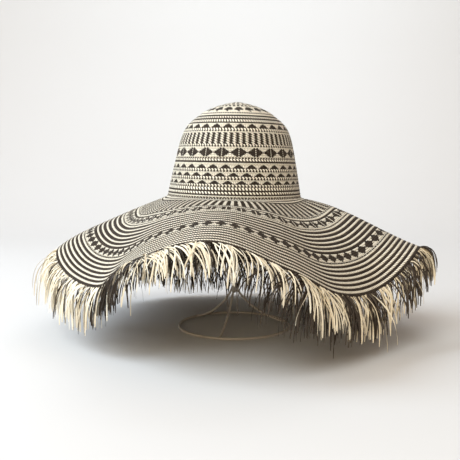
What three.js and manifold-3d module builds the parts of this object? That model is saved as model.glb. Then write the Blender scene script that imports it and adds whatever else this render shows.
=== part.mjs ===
// Floppy woven straw hat with a fringed rim, shown on its wire stand.
// Millimetres, +Z up. The front faces -Y. Azimuth 0 is the front, and azimuth 90 is +X.
// The crown, brim and fringe are hollow woven walls. The stand is one soldered wire frame.

import * as THREE from 'three';
import { mergeVertices } from 'three/addons/utils/BufferGeometryUtils.js';
import Module from 'manifold-3d';

const wasm = await Module();
wasm.setup();

// Hat
const CROWN_BASE_RADIUS = 93.7;
const CROWN_HEIGHT = 129.8;
const BRIM_WIDTH = 175.5;
const WEAVE_THICKNESS = 2;
const PIECE_GAP = 0.3;
const RING_CLEARANCE = 0.4;
const HAT_LEAN = THREE.MathUtils.degToRad(1);
const CROWN_SKEW = 0.018;

// Brim folds
const BRIM_DROOP = 50;
const CROWN_WALL_SLOPE = 80;
const BRIM_TURN_LENGTH = 5;

// Fringe
const HEADING_WIDTH = 2.8;
const HEADING_THICKNESS = 2.2;
const LOCK_COUNT = 72;
const LOCK_LENGTH = 80;
const LOCK_WIDTH = 13;
const LOCK_TIP_WIDTH = 4;
const LOCK_THICKNESS = 1.4;
const LOCK_HANG_SLOPE = 88;
const LOCK_BEND = 3;
const LOCK_SWAY = 7;
const FLOOR_CLEARANCE = 7;

// Stand
const WIRE_DIAMETER = 3.4;
const STEM_DIAMETER = 5.4;
const BASE_RING_RADIUS = 79.5;
const STEM_FOOT_HEIGHT = 49.6;
const TOP_RING_RADIUS = 40;
const TOP_RING_HEIGHT = 301.4;
const ARM_RISE = 34.6;
const STEM_TOP_HEIGHT = TOP_RING_HEIGHT - ARM_RISE;
const FIRST_LEG_AZIMUTH = -15;
const LEG_COUNT = 3;

// Mesh fineness
const CROWN_SIDES = 48;
const BRIM_SIDES = 72;
const WIRE_SIDES = 8;
const BASE_RING_SIDES = 40;
const TOP_RING_SIDES = 24;
const LEG_STEPS = 9;
const ARM_STEPS = 5;

// Colours
const STRAW = 0xd9cca6;
const STAND_METAL = 0x6f665c;

// Crown outline from the base up, as shares of the base radius and of the height.
const CROWN_OUTLINE = [
  { radius: 1.0, height: 0.0 },
  { radius: 0.956, height: 0.17 },
  { radius: 0.906, height: 0.348 },
  { radius: 0.835, height: 0.576 },
  { radius: 0.763, height: 0.708 },
  { radius: 0.687, height: 0.778 },
  { radius: 0.592, height: 0.834 },
  { radius: 0.505, height: 0.882 },
  { radius: 0.405, height: 0.921 },
  { radius: 0.268, height: 0.959 },
  { radius: 0.108, height: 0.989 },
  { radius: 0.0, height: 1.0 },
];

// Brim folds round the hat: the slope at the crown, halfway out and at the rim, as shares of the droop.
const BRIM_FOLDS = [
  { azimuth: -160, start: 0.72, middle: 0.94, end: 1.12 },
  { azimuth: -130, start: 0.36, middle: 0.66, end: 0.98 },
  { azimuth: -104, start: 0.44, middle: 0.5, end: 0.74 },
  { azimuth: -82, start: 0.9, middle: 0.4, end: 0.82 },
  { azimuth: -62, start: 0.5, middle: 0.76, end: 0.66 },
  { azimuth: -44, start: 0.22, middle: 0.8, end: 0.94 },
  { azimuth: -24, start: 0.02, middle: 0.46, end: 0.42 },
  { azimuth: -5, start: 0.04, middle: 0.24, end: 0.34 },
  { azimuth: 14, start: 0.1, middle: 0.5, end: 0.6 },
  { azimuth: 32, start: 0.42, middle: 0.72, end: 1.0 },
  { azimuth: 50, start: 0.52, middle: 0.68, end: 1.18 },
  { azimuth: 70, start: 0.06, middle: 0.48, end: 0.38 },
  { azimuth: 95, start: 0.52, middle: 0.62, end: 0.64 },
  { azimuth: 125, start: 0.98, middle: 0.96, end: 0.88 },
  { azimuth: 160, start: 0.84, middle: 0.9, end: 1.06 },
];

// Rows of the brim's mesh, as shares of its width, closer together where it turns out of the crown.
const BRIM_ROWS = [0, 0.01, 0.025, 0.06, 0.12, 0.2, 0.3, 0.42, 0.55, 0.68, 0.8, 0.91, 1];

// Fringe length round the hat, as shares of the lock length.
const FRINGE_LENGTHS = [
  { azimuth: -180, length: 0.66 },
  { azimuth: -130, length: 0.76 },
  { azimuth: -95, length: 0.66 },
  { azimuth: -60, length: 0.74 },
  { azimuth: -30, length: 0.66 },
  { azimuth: 0, length: 0.74 },
  { azimuth: 35, length: 0.74 },
  { azimuth: 75, length: 0.7 },
  { azimuth: 120, length: 0.76 },
];

// A leg's path from the ring to the stem, as shares of the ring's radius and the stem foot's height.
const LEG_PATH = [
  { radius: 1.0, height: 0.037 },
  { radius: 0.88, height: 0.08 },
  { radius: 0.74, height: 0.17 },
  { radius: 0.56, height: 0.32 },
  { radius: 0.34, height: 0.57 },
  { radius: 0.18, height: 0.82 },
  { radius: 0.07, height: 1.06 },
  { radius: 0.015, height: 1.3 },
];

// An arm's path from the stem to the top ring, as shares of the ring's radius and of the arm's rise.
const ARM_PATH = [
  { radius: 0.0, height: -0.3 },
  { radius: 0.03, height: 0.0 },
  { radius: 0.2, height: 0.36 },
  { radius: 0.5, height: 0.68 },
  { radius: 0.8, height: 0.9 },
  { radius: 1.0, height: 1.0 },
];

const radians = THREE.MathUtils.degToRad;

// A repeatable random number from 0 to 1 for each whole number and channel.
function chance(number, channel) {
  const wave = Math.sin(number * 127.1 + channel * 311.7) * 43758.5453;
  return wave - Math.floor(wave);
}

// A column of a table at an azimuth: a smooth curve through its rows that closes round the hat.
function aroundHat(table, column, azimuth) {
  const count = table.length;
  const first = table[0].azimuth;
  const turn = THREE.MathUtils.euclideanModulo(azimuth - first, 360) + first;
  const row = (i) => {
    const lap = Math.floor(i / count);
    const source = table[i - lap * count];
    return { azimuth: source.azimuth + 360 * lap, value: source[column] };
  };
  let i = 0;
  while (row(i + 1).azimuth <= turn) i += 1;
  const [before, low, high, after] = [row(i - 1), row(i), row(i + 1), row(i + 2)];
  const span = high.azimuth - low.azimuth;
  const t = (turn - low.azimuth) / span;
  const lowSlope = ((high.value - before.value) / (high.azimuth - before.azimuth)) * span;
  const highSlope = ((after.value - low.value) / (after.azimuth - low.azimuth)) * span;
  const t2 = t * t;
  const t3 = t2 * t;
  return (
    (2 * t3 - 3 * t2 + 1) * low.value +
    (t3 - 2 * t2 + t) * lowSlope +
    (3 * t2 - 2 * t3) * high.value +
    (t3 - t2) * highSlope
  );
}

// A point at a radius, height and azimuth.
function polar(radius, height, azimuth) {
  const angle = radians(azimuth);
  return new THREE.Vector3(radius * Math.sin(angle), -radius * Math.cos(angle), height);
}

// The brim's slope in radians at an azimuth and a distance out along the weave.
function brimSlope(azimuth, along) {
  const t = along / BRIM_WIDTH;
  const start = aroundHat(BRIM_FOLDS, 'start', azimuth);
  const middle = aroundHat(BRIM_FOLDS, 'middle', azimuth);
  const end = aroundHat(BRIM_FOLDS, 'end', azimuth);
  const blend = start * (1 - t) * (1 - 2 * t) + middle * 4 * t * (1 - t) + end * t * (2 * t - 1);
  const folded = BRIM_DROOP * blend;
  const turning = Math.max(0, 1 - along / BRIM_TURN_LENGTH) ** 2;
  return radians(folded + (CROWN_WALL_SLOPE - folded) * turning);
}

// The brim's upper surface at one azimuth: a point for each share of the width.
function brimSection(azimuth, shares) {
  const steps = 180;
  const step = BRIM_WIDTH / steps;
  const radii = [CROWN_BASE_RADIUS];
  const heights = [0];
  for (let i = 0; i < steps; i += 1) {
    const slope = brimSlope(azimuth, (i + 0.5) * step);
    radii.push(radii[i] + Math.cos(slope) * step);
    heights.push(heights[i] - Math.sin(slope) * step);
  }
  return shares.map((share) => {
    const k = Math.min(Math.floor(share * steps), steps - 1);
    const f = share * steps - k;
    const radius = radii[k] + (radii[k + 1] - radii[k]) * f;
    const height = heights[k] + (heights[k + 1] - heights[k]) * f;
    return polar(radius, height, azimuth);
  });
}

// A closed solid from vertices and triangles, turned to face out.
function solidOf(geometry) {
  const bare = new THREE.BufferGeometry();
  bare.setAttribute('position', geometry.getAttribute('position'));
  if (geometry.index) bare.setIndex(geometry.index);
  const merged = mergeVertices(bare, 1e-4);
  const index = merged.index.array;
  const kept = [];
  for (let i = 0; i < index.length; i += 3) {
    const [a, b, c] = [index[i], index[i + 1], index[i + 2]];
    if (a !== b && b !== c && c !== a) kept.push(a, b, c);
  }
  const build = (triangles) =>
    new wasm.Manifold(
      new wasm.Mesh({
        numProp: 3,
        vertProperties: new Float32Array(merged.attributes.position.array),
        triVerts: new Uint32Array(triangles),
      }),
    );
  const solid = build(kept);
  return solid.volume() > 0 ? solid : build(kept.reverse());
}

function geometryOf(solid) {
  const mesh = solid.getMesh();
  const geometry = new THREE.BufferGeometry();
  geometry.setAttribute('position', new THREE.BufferAttribute(mesh.vertProperties, 3));
  geometry.setIndex(new THREE.BufferAttribute(mesh.triVerts, 1));
  geometry.computeVertexNormals();
  return geometry;
}

// A solid swept through rings of points. Closed sweeps join the last ring to the first.
function sweptRings(rings, closed) {
  const size = rings[0].length;
  const positions = rings.flat().flatMap((p) => [p.x, p.y, p.z]);
  const faces = [];
  const spans = closed ? rings.length : rings.length - 1;
  for (let i = 0; i < spans; i += 1) {
    const a = i * size;
    const b = ((i + 1) % rings.length) * size;
    for (let j = 0; j < size; j += 1) {
      const k = (j + 1) % size;
      faces.push(a + j, b + j, b + k, a + j, b + k, a + k);
    }
  }
  if (!closed) {
    const last = (rings.length - 1) * size;
    for (let j = 1; j < size - 1; j += 1) {
      faces.push(0, j, j + 1);
      faces.push(last, last + j + 1, last + j);
    }
  }
  const geometry = new THREE.BufferGeometry();
  geometry.setAttribute('position', new THREE.Float32BufferAttribute(positions, 3));
  geometry.setIndex(faces);
  return geometry;
}

function straw(roughness) {
  return new THREE.MeshStandardMaterial({ color: STRAW, roughness, metalness: 0 });
}

// The crown's outer and inner curves in one upright plane, from the base to the top.
function crownCurves() {
  const outline = CROWN_OUTLINE.map(
    (row) => new THREE.Vector2(row.radius * CROWN_BASE_RADIUS, row.height * CROWN_HEIGHT),
  );
  const curve = new THREE.SplineCurve(outline);
  const rows = 10;
  const outer = [];
  const inner = [];
  for (let i = 0; i <= rows; i += 1) {
    const share = i === 0 ? PIECE_GAP / curve.getLength() : i / rows;
    const point = curve.getPointAt(share);
    const tangent = i === rows ? new THREE.Vector2(-1, 0) : curve.getTangentAt(share);
    const inward = new THREE.Vector2(-tangent.y, tangent.x);
    outer.push(point);
    inner.push(point.clone().addScaledVector(inward, WEAVE_THICKNESS));
  }
  outer[rows].x = 0;
  inner[rows].x = 0;
  return { outer, inner };
}

// Crown: the two curves closed into one wall, turned round the axis and pushed a little to the right.
function crown() {
  const { outer, inner } = crownCurves();
  const geometry = new THREE.LatheGeometry([...inner.reverse(), ...outer], CROWN_SIDES);
  geometry.rotateX(Math.PI / 2);
  geometry.applyMatrix4(new THREE.Matrix4().makeShear(0, 0, 0, 0, CROWN_SKEW, 0));
  return geometryOf(solidOf(geometry));
}

// The height of the crown's inside at a radius from its axis.
function crownCeiling(radius) {
  const { inner } = crownCurves();
  let i = 0;
  while (i < inner.length - 2 && inner[i + 1].x > radius) i += 1;
  const [low, high] = [inner[i], inner[i + 1]];
  return low.y + ((high.y - low.y) * (low.x - radius)) / (low.x - high.x);
}

// The height of the crown's base when the crown rests on the stand's top ring, with a small clearance.
function restingHeight() {
  const corner = WIRE_DIAMETER / 2 / Math.cos(Math.PI / WIRE_SIDES);
  const [sine, cosine] = [Math.sin(HAT_LEAN), Math.cos(HAT_LEAN)];
  let height = 0;
  for (const side of [-1, 1]) {
    for (const step of [0.5, 1.5]) {
      const angle = (step * 2 * Math.PI) / WIRE_SIDES;
      const x = side * (TOP_RING_RADIUS + corner * Math.cos(angle));
      let rise = CROWN_HEIGHT;
      for (let i = 0; i < 12; i += 1) {
        const across = x * cosine - rise * sine - CROWN_SKEW * (x * sine + rise * cosine);
        const ceiling = crownCeiling(Math.abs(across) / Math.cos(Math.PI / CROWN_SIDES));
        rise = (ceiling - RING_CLEARANCE - x * sine) / cosine;
      }
      height = Math.max(height, TOP_RING_HEIGHT + corner * Math.sin(angle) - rise);
    }
  }
  return height;
}

const crownBaseHeight = restingHeight();

// The brim's upper surface as a grid of points with normals, one column for each side.
function brimGrid() {
  const columns = [];
  for (let i = 0; i < BRIM_SIDES; i += 1) columns.push(brimSection((i * 360) / BRIM_SIDES, BRIM_ROWS));
  const last = BRIM_ROWS.length - 1;
  return columns.map((column, i) => {
    const left = columns[(i + BRIM_SIDES - 1) % BRIM_SIDES];
    const right = columns[(i + 1) % BRIM_SIDES];
    return column.map((point, j) => {
      const out = column[Math.min(j + 1, last)].clone().sub(column[Math.max(j - 1, 0)]).normalize();
      const along = right[j].clone().sub(left[j]).normalize();
      const up = new THREE.Vector3().crossVectors(out, along).normalize();
      return { point, out, along, up };
    });
  });
}

const grid = brimGrid();

// Brim: the wavy surface and its underside, closed at the crown and at the rim.
function brim() {
  const rings = grid.map((column) => {
    const top = column.map((node) => node.point);
    const bottom = column.map((node) => node.point.clone().addScaledVector(node.up, -WEAVE_THICKNESS));
    return [...top, ...bottom.reverse()];
  });
  return geometryOf(solidOf(sweptRings(rings, true)));
}

// One lock: a flat strip that leaves the heading along the brim and bends down to hang.
function lock(number) {
  const azimuth = ((number + 0.5) * 360) / LOCK_COUNT - 180;
  const edge = brimSection(azimuth, [1])[0];
  const spread = 360 / LOCK_COUNT / 4;
  const along = brimSection(azimuth + spread, [1])[0].sub(brimSection(azimuth - spread, [1])[0]);
  along.normalize();
  const startSlope = brimSlope(azimuth, BRIM_WIDTH);
  const wanted = LOCK_LENGTH * aroundHat(FRINGE_LENGTHS, 'length', azimuth) * (0.88 + 0.2 * chance(number, 1));
  const sway = LOCK_SWAY * (2 * chance(number, 2) - 1);
  const outward = polar(1, 0, azimuth);
  const pieces = 3;
  const path = [];
  const slopes = [];
  let drop = 0;
  let reach = 0;
  const steps = 42;
  const floor = FLOOR_CLEARANCE - crownBaseHeight + CROWN_BASE_RADIUS * 2.9 * Math.sin(HAT_LEAN);
  const slopeAt = (t) => {
    const eased = (1 - Math.exp(-LOCK_BEND * t)) / (1 - Math.exp(-LOCK_BEND));
    return startSlope + (radians(LOCK_HANG_SLOPE) - startSlope) * eased;
  };
  let fall = 0;
  for (let i = 0; i < steps; i += 1) fall += Math.sin(slopeAt((i + 0.5) / steps)) / steps;
  const length = Math.min(wanted, (edge.z - floor) / fall);
  const rootShift = PIECE_GAP + HEADING_WIDTH / 2;
  for (let i = 0; i <= steps; i += 1) {
    const t = i / steps;
    if (i % (steps / pieces) === 0) {
      const centre = edge
        .clone()
        .addScaledVector(outward, Math.cos(startSlope) * rootShift + reach)
        .addScaledVector(along, sway * t * t);
      centre.z -= Math.sin(startSlope) * rootShift + drop;
      path.push(centre);
      slopes.push(slopeAt(t));
    }
    const slope = slopeAt(t + 0.5 / steps);
    reach += (Math.cos(slope) * length) / steps;
    drop += (Math.sin(slope) * length) / steps;
  }
  const rings = path.map((centre, i) => {
    const t = i / pieces;
    const half = (LOCK_WIDTH + (LOCK_TIP_WIDTH - LOCK_WIDTH) * t) / 2;
    const ahead = outward.clone().multiplyScalar(Math.cos(slopes[i]));
    ahead.z = -Math.sin(slopes[i]);
    const side = along.clone().addScaledVector(ahead, -along.dot(ahead)).normalize();
    const face = new THREE.Vector3().crossVectors(ahead, side);
    const sunk = (WEAVE_THICKNESS / 2) * (1 - t);
    return [
      [half, 1],
      [-half, 1],
      [-half, -1],
      [half, -1],
    ].map(([across, up]) =>
      centre
        .clone()
        .addScaledVector(side, across)
        .addScaledVector(face, (up * LOCK_THICKNESS) / 2 - sunk),
    );
  });
  return solidOf(sweptRings(rings, false));
}

// Fringe: a narrow heading just outside the rim with the locks joined to it.
function fringe() {
  const lift = (HEADING_THICKNESS - WEAVE_THICKNESS) / 2;
  const rings = grid.map((column) => {
    const { point, out, up } = column[column.length - 1];
    const near = PIECE_GAP + 0.1;
    const far = PIECE_GAP + HEADING_WIDTH;
    const corner = (across, height) => point.clone().addScaledVector(out, across).addScaledVector(up, height);
    return [
      corner(near, lift),
      corner(far, lift),
      corner(far, lift - HEADING_THICKNESS),
      corner(near, lift - HEADING_THICKNESS),
    ];
  });
  let solid = solidOf(sweptRings(rings, true));
  const locks = [];
  for (let i = 0; i < LOCK_COUNT; i += 1) locks.push(lock(i));
  solid = wasm.Manifold.union([solid, ...locks]);
  return geometryOf(solid);
}

// A ring of wire with a flat underside.
function wireRing(radius, height, sides) {
  const corner = WIRE_DIAMETER / 2 / Math.cos(Math.PI / WIRE_SIDES);
  const section = [];
  for (let i = 0; i <= WIRE_SIDES; i += 1) {
    const angle = ((i + 0.5) / WIRE_SIDES) * Math.PI * 2;
    section.push(new THREE.Vector2(radius + corner * Math.cos(angle), height + corner * Math.sin(angle)));
  }
  section[WIRE_SIDES].copy(section[0]);
  const geometry = new THREE.LatheGeometry(section, sides);
  geometry.rotateX(Math.PI / 2);
  return solidOf(geometry);
}

// A wire along a path in one upright plane.
function wire(points, azimuth, steps) {
  const curve = new THREE.CatmullRomCurve3(points.map(([radius, height]) => polar(radius, height, azimuth)));
  const section = new THREE.Shape();
  for (let i = 0; i < WIRE_SIDES; i += 1) {
    const angle = (i / WIRE_SIDES) * Math.PI * 2;
    const x = (WIRE_DIAMETER / 2) * Math.cos(angle);
    const y = (WIRE_DIAMETER / 2) * Math.sin(angle);
    if (i === 0) section.moveTo(x, y);
    else section.lineTo(x, y);
  }
  section.closePath();
  return solidOf(new THREE.ExtrudeGeometry(section, { steps, extrudePath: curve }));
}

// Stand: base ring, three legs, stem, three arms and the ring that carries the crown.
function wireStand() {
  const parts = [
    wireRing(BASE_RING_RADIUS, WIRE_DIAMETER / 2, BASE_RING_SIDES),
    wireRing(TOP_RING_RADIUS, TOP_RING_HEIGHT, TOP_RING_SIDES),
  ];
  const stem = new THREE.CylinderGeometry(
    STEM_DIAMETER / 2,
    STEM_DIAMETER / 2,
    STEM_TOP_HEIGHT - STEM_FOOT_HEIGHT,
    12,
  );
  stem.rotateX(Math.PI / 2);
  stem.translate(0, 0, (STEM_TOP_HEIGHT + STEM_FOOT_HEIGHT) / 2);
  parts.push(solidOf(stem));
  const rise = TOP_RING_HEIGHT - STEM_TOP_HEIGHT;
  for (let i = 0; i < LEG_COUNT; i += 1) {
    const azimuth = FIRST_LEG_AZIMUTH + (i * 360) / LEG_COUNT;
    const leg = LEG_PATH.map((row) => [row.radius * BASE_RING_RADIUS, row.height * STEM_FOOT_HEIGHT]);
    const arm = ARM_PATH.map((row) => [row.radius * TOP_RING_RADIUS, STEM_TOP_HEIGHT + row.height * rise]);
    parts.push(wire(leg, azimuth, LEG_STEPS), wire(arm, azimuth, ARM_STEPS));
  }
  return geometryOf(wasm.Manifold.union(parts));
}

function piece(name, geometry, material) {
  const mesh = new THREE.Mesh(geometry, material);
  mesh.name = name;
  return mesh;
}

const hat = new THREE.Group();
hat.add(piece('crown', crown(), straw(0.85)));
hat.add(piece('brim', brim(), straw(0.85)));
hat.add(piece('fringe', fringe(), straw(0.75)));
hat.position.z = crownBaseHeight;
hat.rotation.y = HAT_LEAN;

const metal = new THREE.MeshStandardMaterial({ color: STAND_METAL, roughness: 0.45, metalness: 0.7 });
const displayed = new THREE.Group();
displayed.add(hat);
displayed.add(piece('wire_stand', wireStand(), metal));

// The origin is the middle of the whole object's underside.
displayed.updateMatrixWorld(true);
const bounds = new THREE.Box3().setFromObject(displayed, true);
displayed.position.set(-(bounds.min.x + bounds.max.x) / 2, -(bounds.min.y + bounds.max.y) / 2, 0);

const strawHat = new THREE.Group();
strawHat.add(displayed);

export default strawHat;
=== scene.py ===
"""Floppy woven straw hat with a fringed rim, on its wire stand: weave, fringe, wire, floor and light."""

import math

import bpy
import numpy as np
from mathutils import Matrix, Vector


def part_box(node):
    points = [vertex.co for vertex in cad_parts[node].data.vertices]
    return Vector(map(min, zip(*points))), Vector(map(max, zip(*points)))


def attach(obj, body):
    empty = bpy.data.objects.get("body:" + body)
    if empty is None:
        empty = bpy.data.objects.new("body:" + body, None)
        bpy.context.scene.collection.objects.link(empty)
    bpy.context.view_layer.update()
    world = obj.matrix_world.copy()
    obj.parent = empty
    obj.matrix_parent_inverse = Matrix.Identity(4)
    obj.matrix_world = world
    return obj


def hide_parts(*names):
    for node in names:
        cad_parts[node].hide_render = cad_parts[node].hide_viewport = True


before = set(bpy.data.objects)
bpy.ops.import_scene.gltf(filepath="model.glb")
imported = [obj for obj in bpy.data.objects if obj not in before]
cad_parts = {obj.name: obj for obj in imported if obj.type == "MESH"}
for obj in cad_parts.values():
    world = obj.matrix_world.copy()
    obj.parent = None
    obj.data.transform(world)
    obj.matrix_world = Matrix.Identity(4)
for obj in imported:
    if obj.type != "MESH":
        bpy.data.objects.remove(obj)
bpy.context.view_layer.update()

# Sizes in millimetres and degrees. Azimuth 0 is the front, -Y, and azimuth 90 is +X.
CROWN_BASE_RADIUS = 93.7
CROWN_HEIGHT = 129.8
CROWN_SKEW = 0.018
CROWN_BASE_HEIGHT = 189.61
BRIM_WIDTH = 175.5
HAT_LEAN = math.radians(1.0)
BRIM_DROOP = 50.0
CROWN_WALL_SLOPE = 80.0
BRIM_TURN_LENGTH = 5.0
STRAND_LENGTH = 80.0
STRAND_SECTIONS = 8
STEPS_IN_SECTION = 4
FRINGE_BUNCHES = 680
FLOOR_CLEARANCE = 5.0
WIRE_DIAMETER = 3.4
STEM_DIAMETER = 5.4
BASE_RING_RADIUS = 79.5
STEM_FOOT_HEIGHT = 49.6
STEM_TOP_HEIGHT = 266.8
TOP_RING_RADIUS = 40.0
TOP_RING_HEIGHT = 301.4
FIRST_LEG_AZIMUTH = -15.0
LEG_COUNT = 3

# Shape of the woven surface: relief, depths and the rim's rounded edge in millimetres, slants and sideways spreads as
# shares of a stitch, and the shares of the baking map that the outer face and each line of the edge take
CORD_RELIEF = 0.42
STITCH_LEAN = 0.9
SHAPE_LEAN = 0.4
BAR_LEAN = 1.5
DARK_SPREAD = 0.16
NARROW = -0.2
WIDE = 0.34
LINING_DEPTH = 1.75
OUTER_SHARE = 0.62
EDGE_SHARE = 0.004
EDGE_HEIGHTS = (0.1, -0.7, -1.3, -LINING_DEPTH)
EDGE_SWELL = 0.5

# Colours, as shader values
STRAW_PALE = (0.93, 0.89, 0.76)
STRAW_TAN = (0.72, 0.61, 0.42)
BLACK_STRAW = (0.013, 0.009, 0.006)
BROWN_STRAW = (0.055, 0.040, 0.027)
# Painted shade in the gaps between natural stitches
PAINTED_GAP_SHADE = (0.10, 0.068, 0.038)
# Painted shade laid over the inside face
LINING_PAINTED_SHADE = (0.06, 0.045, 0.03)
WIRE_GREY = (0.50, 0.45, 0.38)
WIRE_DULL = (0.34, 0.30, 0.25)
FLOOR_PALE = (0.66, 0.655, 0.645)
GLOW_WARM = (1.0, 0.79, 0.62, 1.0)
GLOW_SEEN = (1.5, 1.49, 1.46, 1.0)
GLOW_STRENGTH = 0.53

# Light and camera, in metres, watts and degrees. The glow is warm where it lights and pale where it is seen.
HAT_MIDDLE = (0, 0.03, 0.14)
WALL_MIDDLE = (0.4, 2.0, 0.9)
LIGHTS = (
    dict(name="key", place=(-1.65, -0.28, 1.42), size=1.1, power=41.0, colour=(0.73, 0.86, 1.0), aim=HAT_MIDDLE),
    dict(name="low_front", place=(-0.8, -2.4, 1.0), size=1.8, power=18.0, colour=(1.0, 0.83, 0.57), aim=HAT_MIDDLE),
    dict(name="high_front", place=(-0.6, -1.8, 1.9), size=1.4, power=36.5, colour=(0.88, 0.96, 1.0), aim=HAT_MIDDLE),
    dict(name="wall", place=(0.3, 1.2, 1.9), size=1.6, power=17.0, colour=(0.79, 0.9, 1.0), aim=WALL_MIDDLE),
)
EYE_BEFORE_STAND = 0.952
EYE_HEIGHT = 0.2362
EYE_SHIFT = -0.006
LOOK_DOWN = 5.8
FOCAL_LENGTH_MM = 52.4

# Crown outline from the base up, as shares of the base radius and of the height.
CROWN_OUTLINE = (
    {"radius": 1.0, "height": 0.0},
    {"radius": 0.956, "height": 0.17},
    {"radius": 0.906, "height": 0.348},
    {"radius": 0.835, "height": 0.576},
    {"radius": 0.763, "height": 0.708},
    {"radius": 0.687, "height": 0.778},
    {"radius": 0.592, "height": 0.834},
    {"radius": 0.505, "height": 0.882},
    {"radius": 0.405, "height": 0.921},
    {"radius": 0.268, "height": 0.959},
    {"radius": 0.108, "height": 0.989},
    {"radius": 0.0, "height": 1.0},
)

# Brim folds: the slope at the crown, halfway out and at the rim, as shares of the droop.
BRIM_FOLDS = (
    {"azimuth": -160, "start": 0.72, "middle": 0.94, "end": 1.12},
    {"azimuth": -130, "start": 0.36, "middle": 0.66, "end": 0.98},
    {"azimuth": -104, "start": 0.44, "middle": 0.5, "end": 0.74},
    {"azimuth": -82, "start": 0.9, "middle": 0.4, "end": 0.82},
    {"azimuth": -62, "start": 0.5, "middle": 0.76, "end": 0.66},
    {"azimuth": -44, "start": 0.22, "middle": 0.8, "end": 0.94},
    {"azimuth": -24, "start": 0.02, "middle": 0.46, "end": 0.42},
    {"azimuth": -5, "start": 0.04, "middle": 0.24, "end": 0.34},
    {"azimuth": 14, "start": 0.1, "middle": 0.5, "end": 0.6},
    {"azimuth": 32, "start": 0.42, "middle": 0.72, "end": 1.0},
    {"azimuth": 50, "start": 0.52, "middle": 0.68, "end": 1.18},
    {"azimuth": 70, "start": 0.06, "middle": 0.48, "end": 0.38},
    {"azimuth": 95, "start": 0.52, "middle": 0.62, "end": 0.64},
    {"azimuth": 125, "start": 0.98, "middle": 0.96, "end": 0.88},
    {"azimuth": 160, "start": 0.84, "middle": 0.9, "end": 1.06},
)

# Fringe round the hat: length as a share of the strip length, amount of strips in a bunch, turn as the sideways lean
# towards growing azimuth, bend as how soon they hang, splay of the bunches, share of black, and how brown the pale
# ones are: their own colour, raised on the right side as painted shade where the light from the left falls less.
FRINGE = (
    dict(azimuth=-180, length=0.8, amount=2.4, turn=0, bend=2.6, splay=14, black=0.85, tan_and_shade=0.6),
    dict(azimuth=-130, length=0.76, amount=2.8, turn=0, bend=2.6, splay=12, black=0.45, tan_and_shade=0.5),
    dict(azimuth=-100, length=0.7, amount=2.6, turn=0, bend=2.6, splay=12, black=0.35, tan_and_shade=0.4),
    dict(azimuth=-84, length=0.74, amount=2.8, turn=0, bend=2.4, splay=9, black=0.25, tan_and_shade=0.35),
    dict(azimuth=-70, length=0.72, amount=3, turn=0, bend=2.6, splay=8, black=0.22, tan_and_shade=0.35),
    dict(azimuth=-50, length=0.74, amount=3, turn=0, bend=2.6, splay=9, black=0.3, tan_and_shade=0.35),
    dict(azimuth=-38, length=0.62, amount=1.6, turn=-6, bend=2.4, splay=12, black=0.7, tan_and_shade=0.4),
    dict(azimuth=-30, length=0.5, amount=0.8, turn=0, bend=2, splay=16, black=0.8, tan_and_shade=0.4),
    dict(azimuth=-22, length=0.5, amount=0.8, turn=56, bend=1, splay=16, black=0.45, tan_and_shade=0.35),
    dict(azimuth=-12, length=0.6, amount=0.8, turn=48, bend=0.9, splay=16, black=0.45, tan_and_shade=0.35),
    dict(azimuth=-4, length=0.6, amount=0.4, turn=16, bend=1.4, splay=24, black=0.4, tan_and_shade=0.35),
    dict(azimuth=6, length=0.6, amount=0.35, turn=30, bend=1.3, splay=22, black=0.3, tan_and_shade=0.4),
    dict(azimuth=14, length=0.6, amount=0.8, turn=20, bend=1.6, splay=18, black=0.5, tan_and_shade=0.6),
    dict(azimuth=22, length=0.62, amount=1.2, turn=10, bend=1.8, splay=16, black=0.55, tan_and_shade=0.7),
    dict(azimuth=30, length=0.72, amount=2.4, turn=26, bend=1.8, splay=12, black=0.55, tan_and_shade=0.85),
    dict(azimuth=42, length=0.72, amount=3, turn=18, bend=2, splay=11, black=0.62, tan_and_shade=1),
    dict(azimuth=60, length=0.72, amount=3, turn=8, bend=2.4, splay=10, black=0.6, tan_and_shade=1.05),
    dict(azimuth=72, length=0.66, amount=2.8, turn=4, bend=2.4, splay=10, black=0.45, tan_and_shade=1.05),
    dict(azimuth=84, length=0.6, amount=2.2, turn=0, bend=2.4, splay=10, black=0.97, tan_and_shade=0.8),
    dict(azimuth=108, length=0.7, amount=1.8, turn=0, bend=2.6, splay=10, black=0.9, tan_and_shade=0.7),
    dict(azimuth=130, length=0.76, amount=2.6, turn=0, bend=2.6, splay=12, black=0.5, tan_and_shade=0.6),
)

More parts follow.
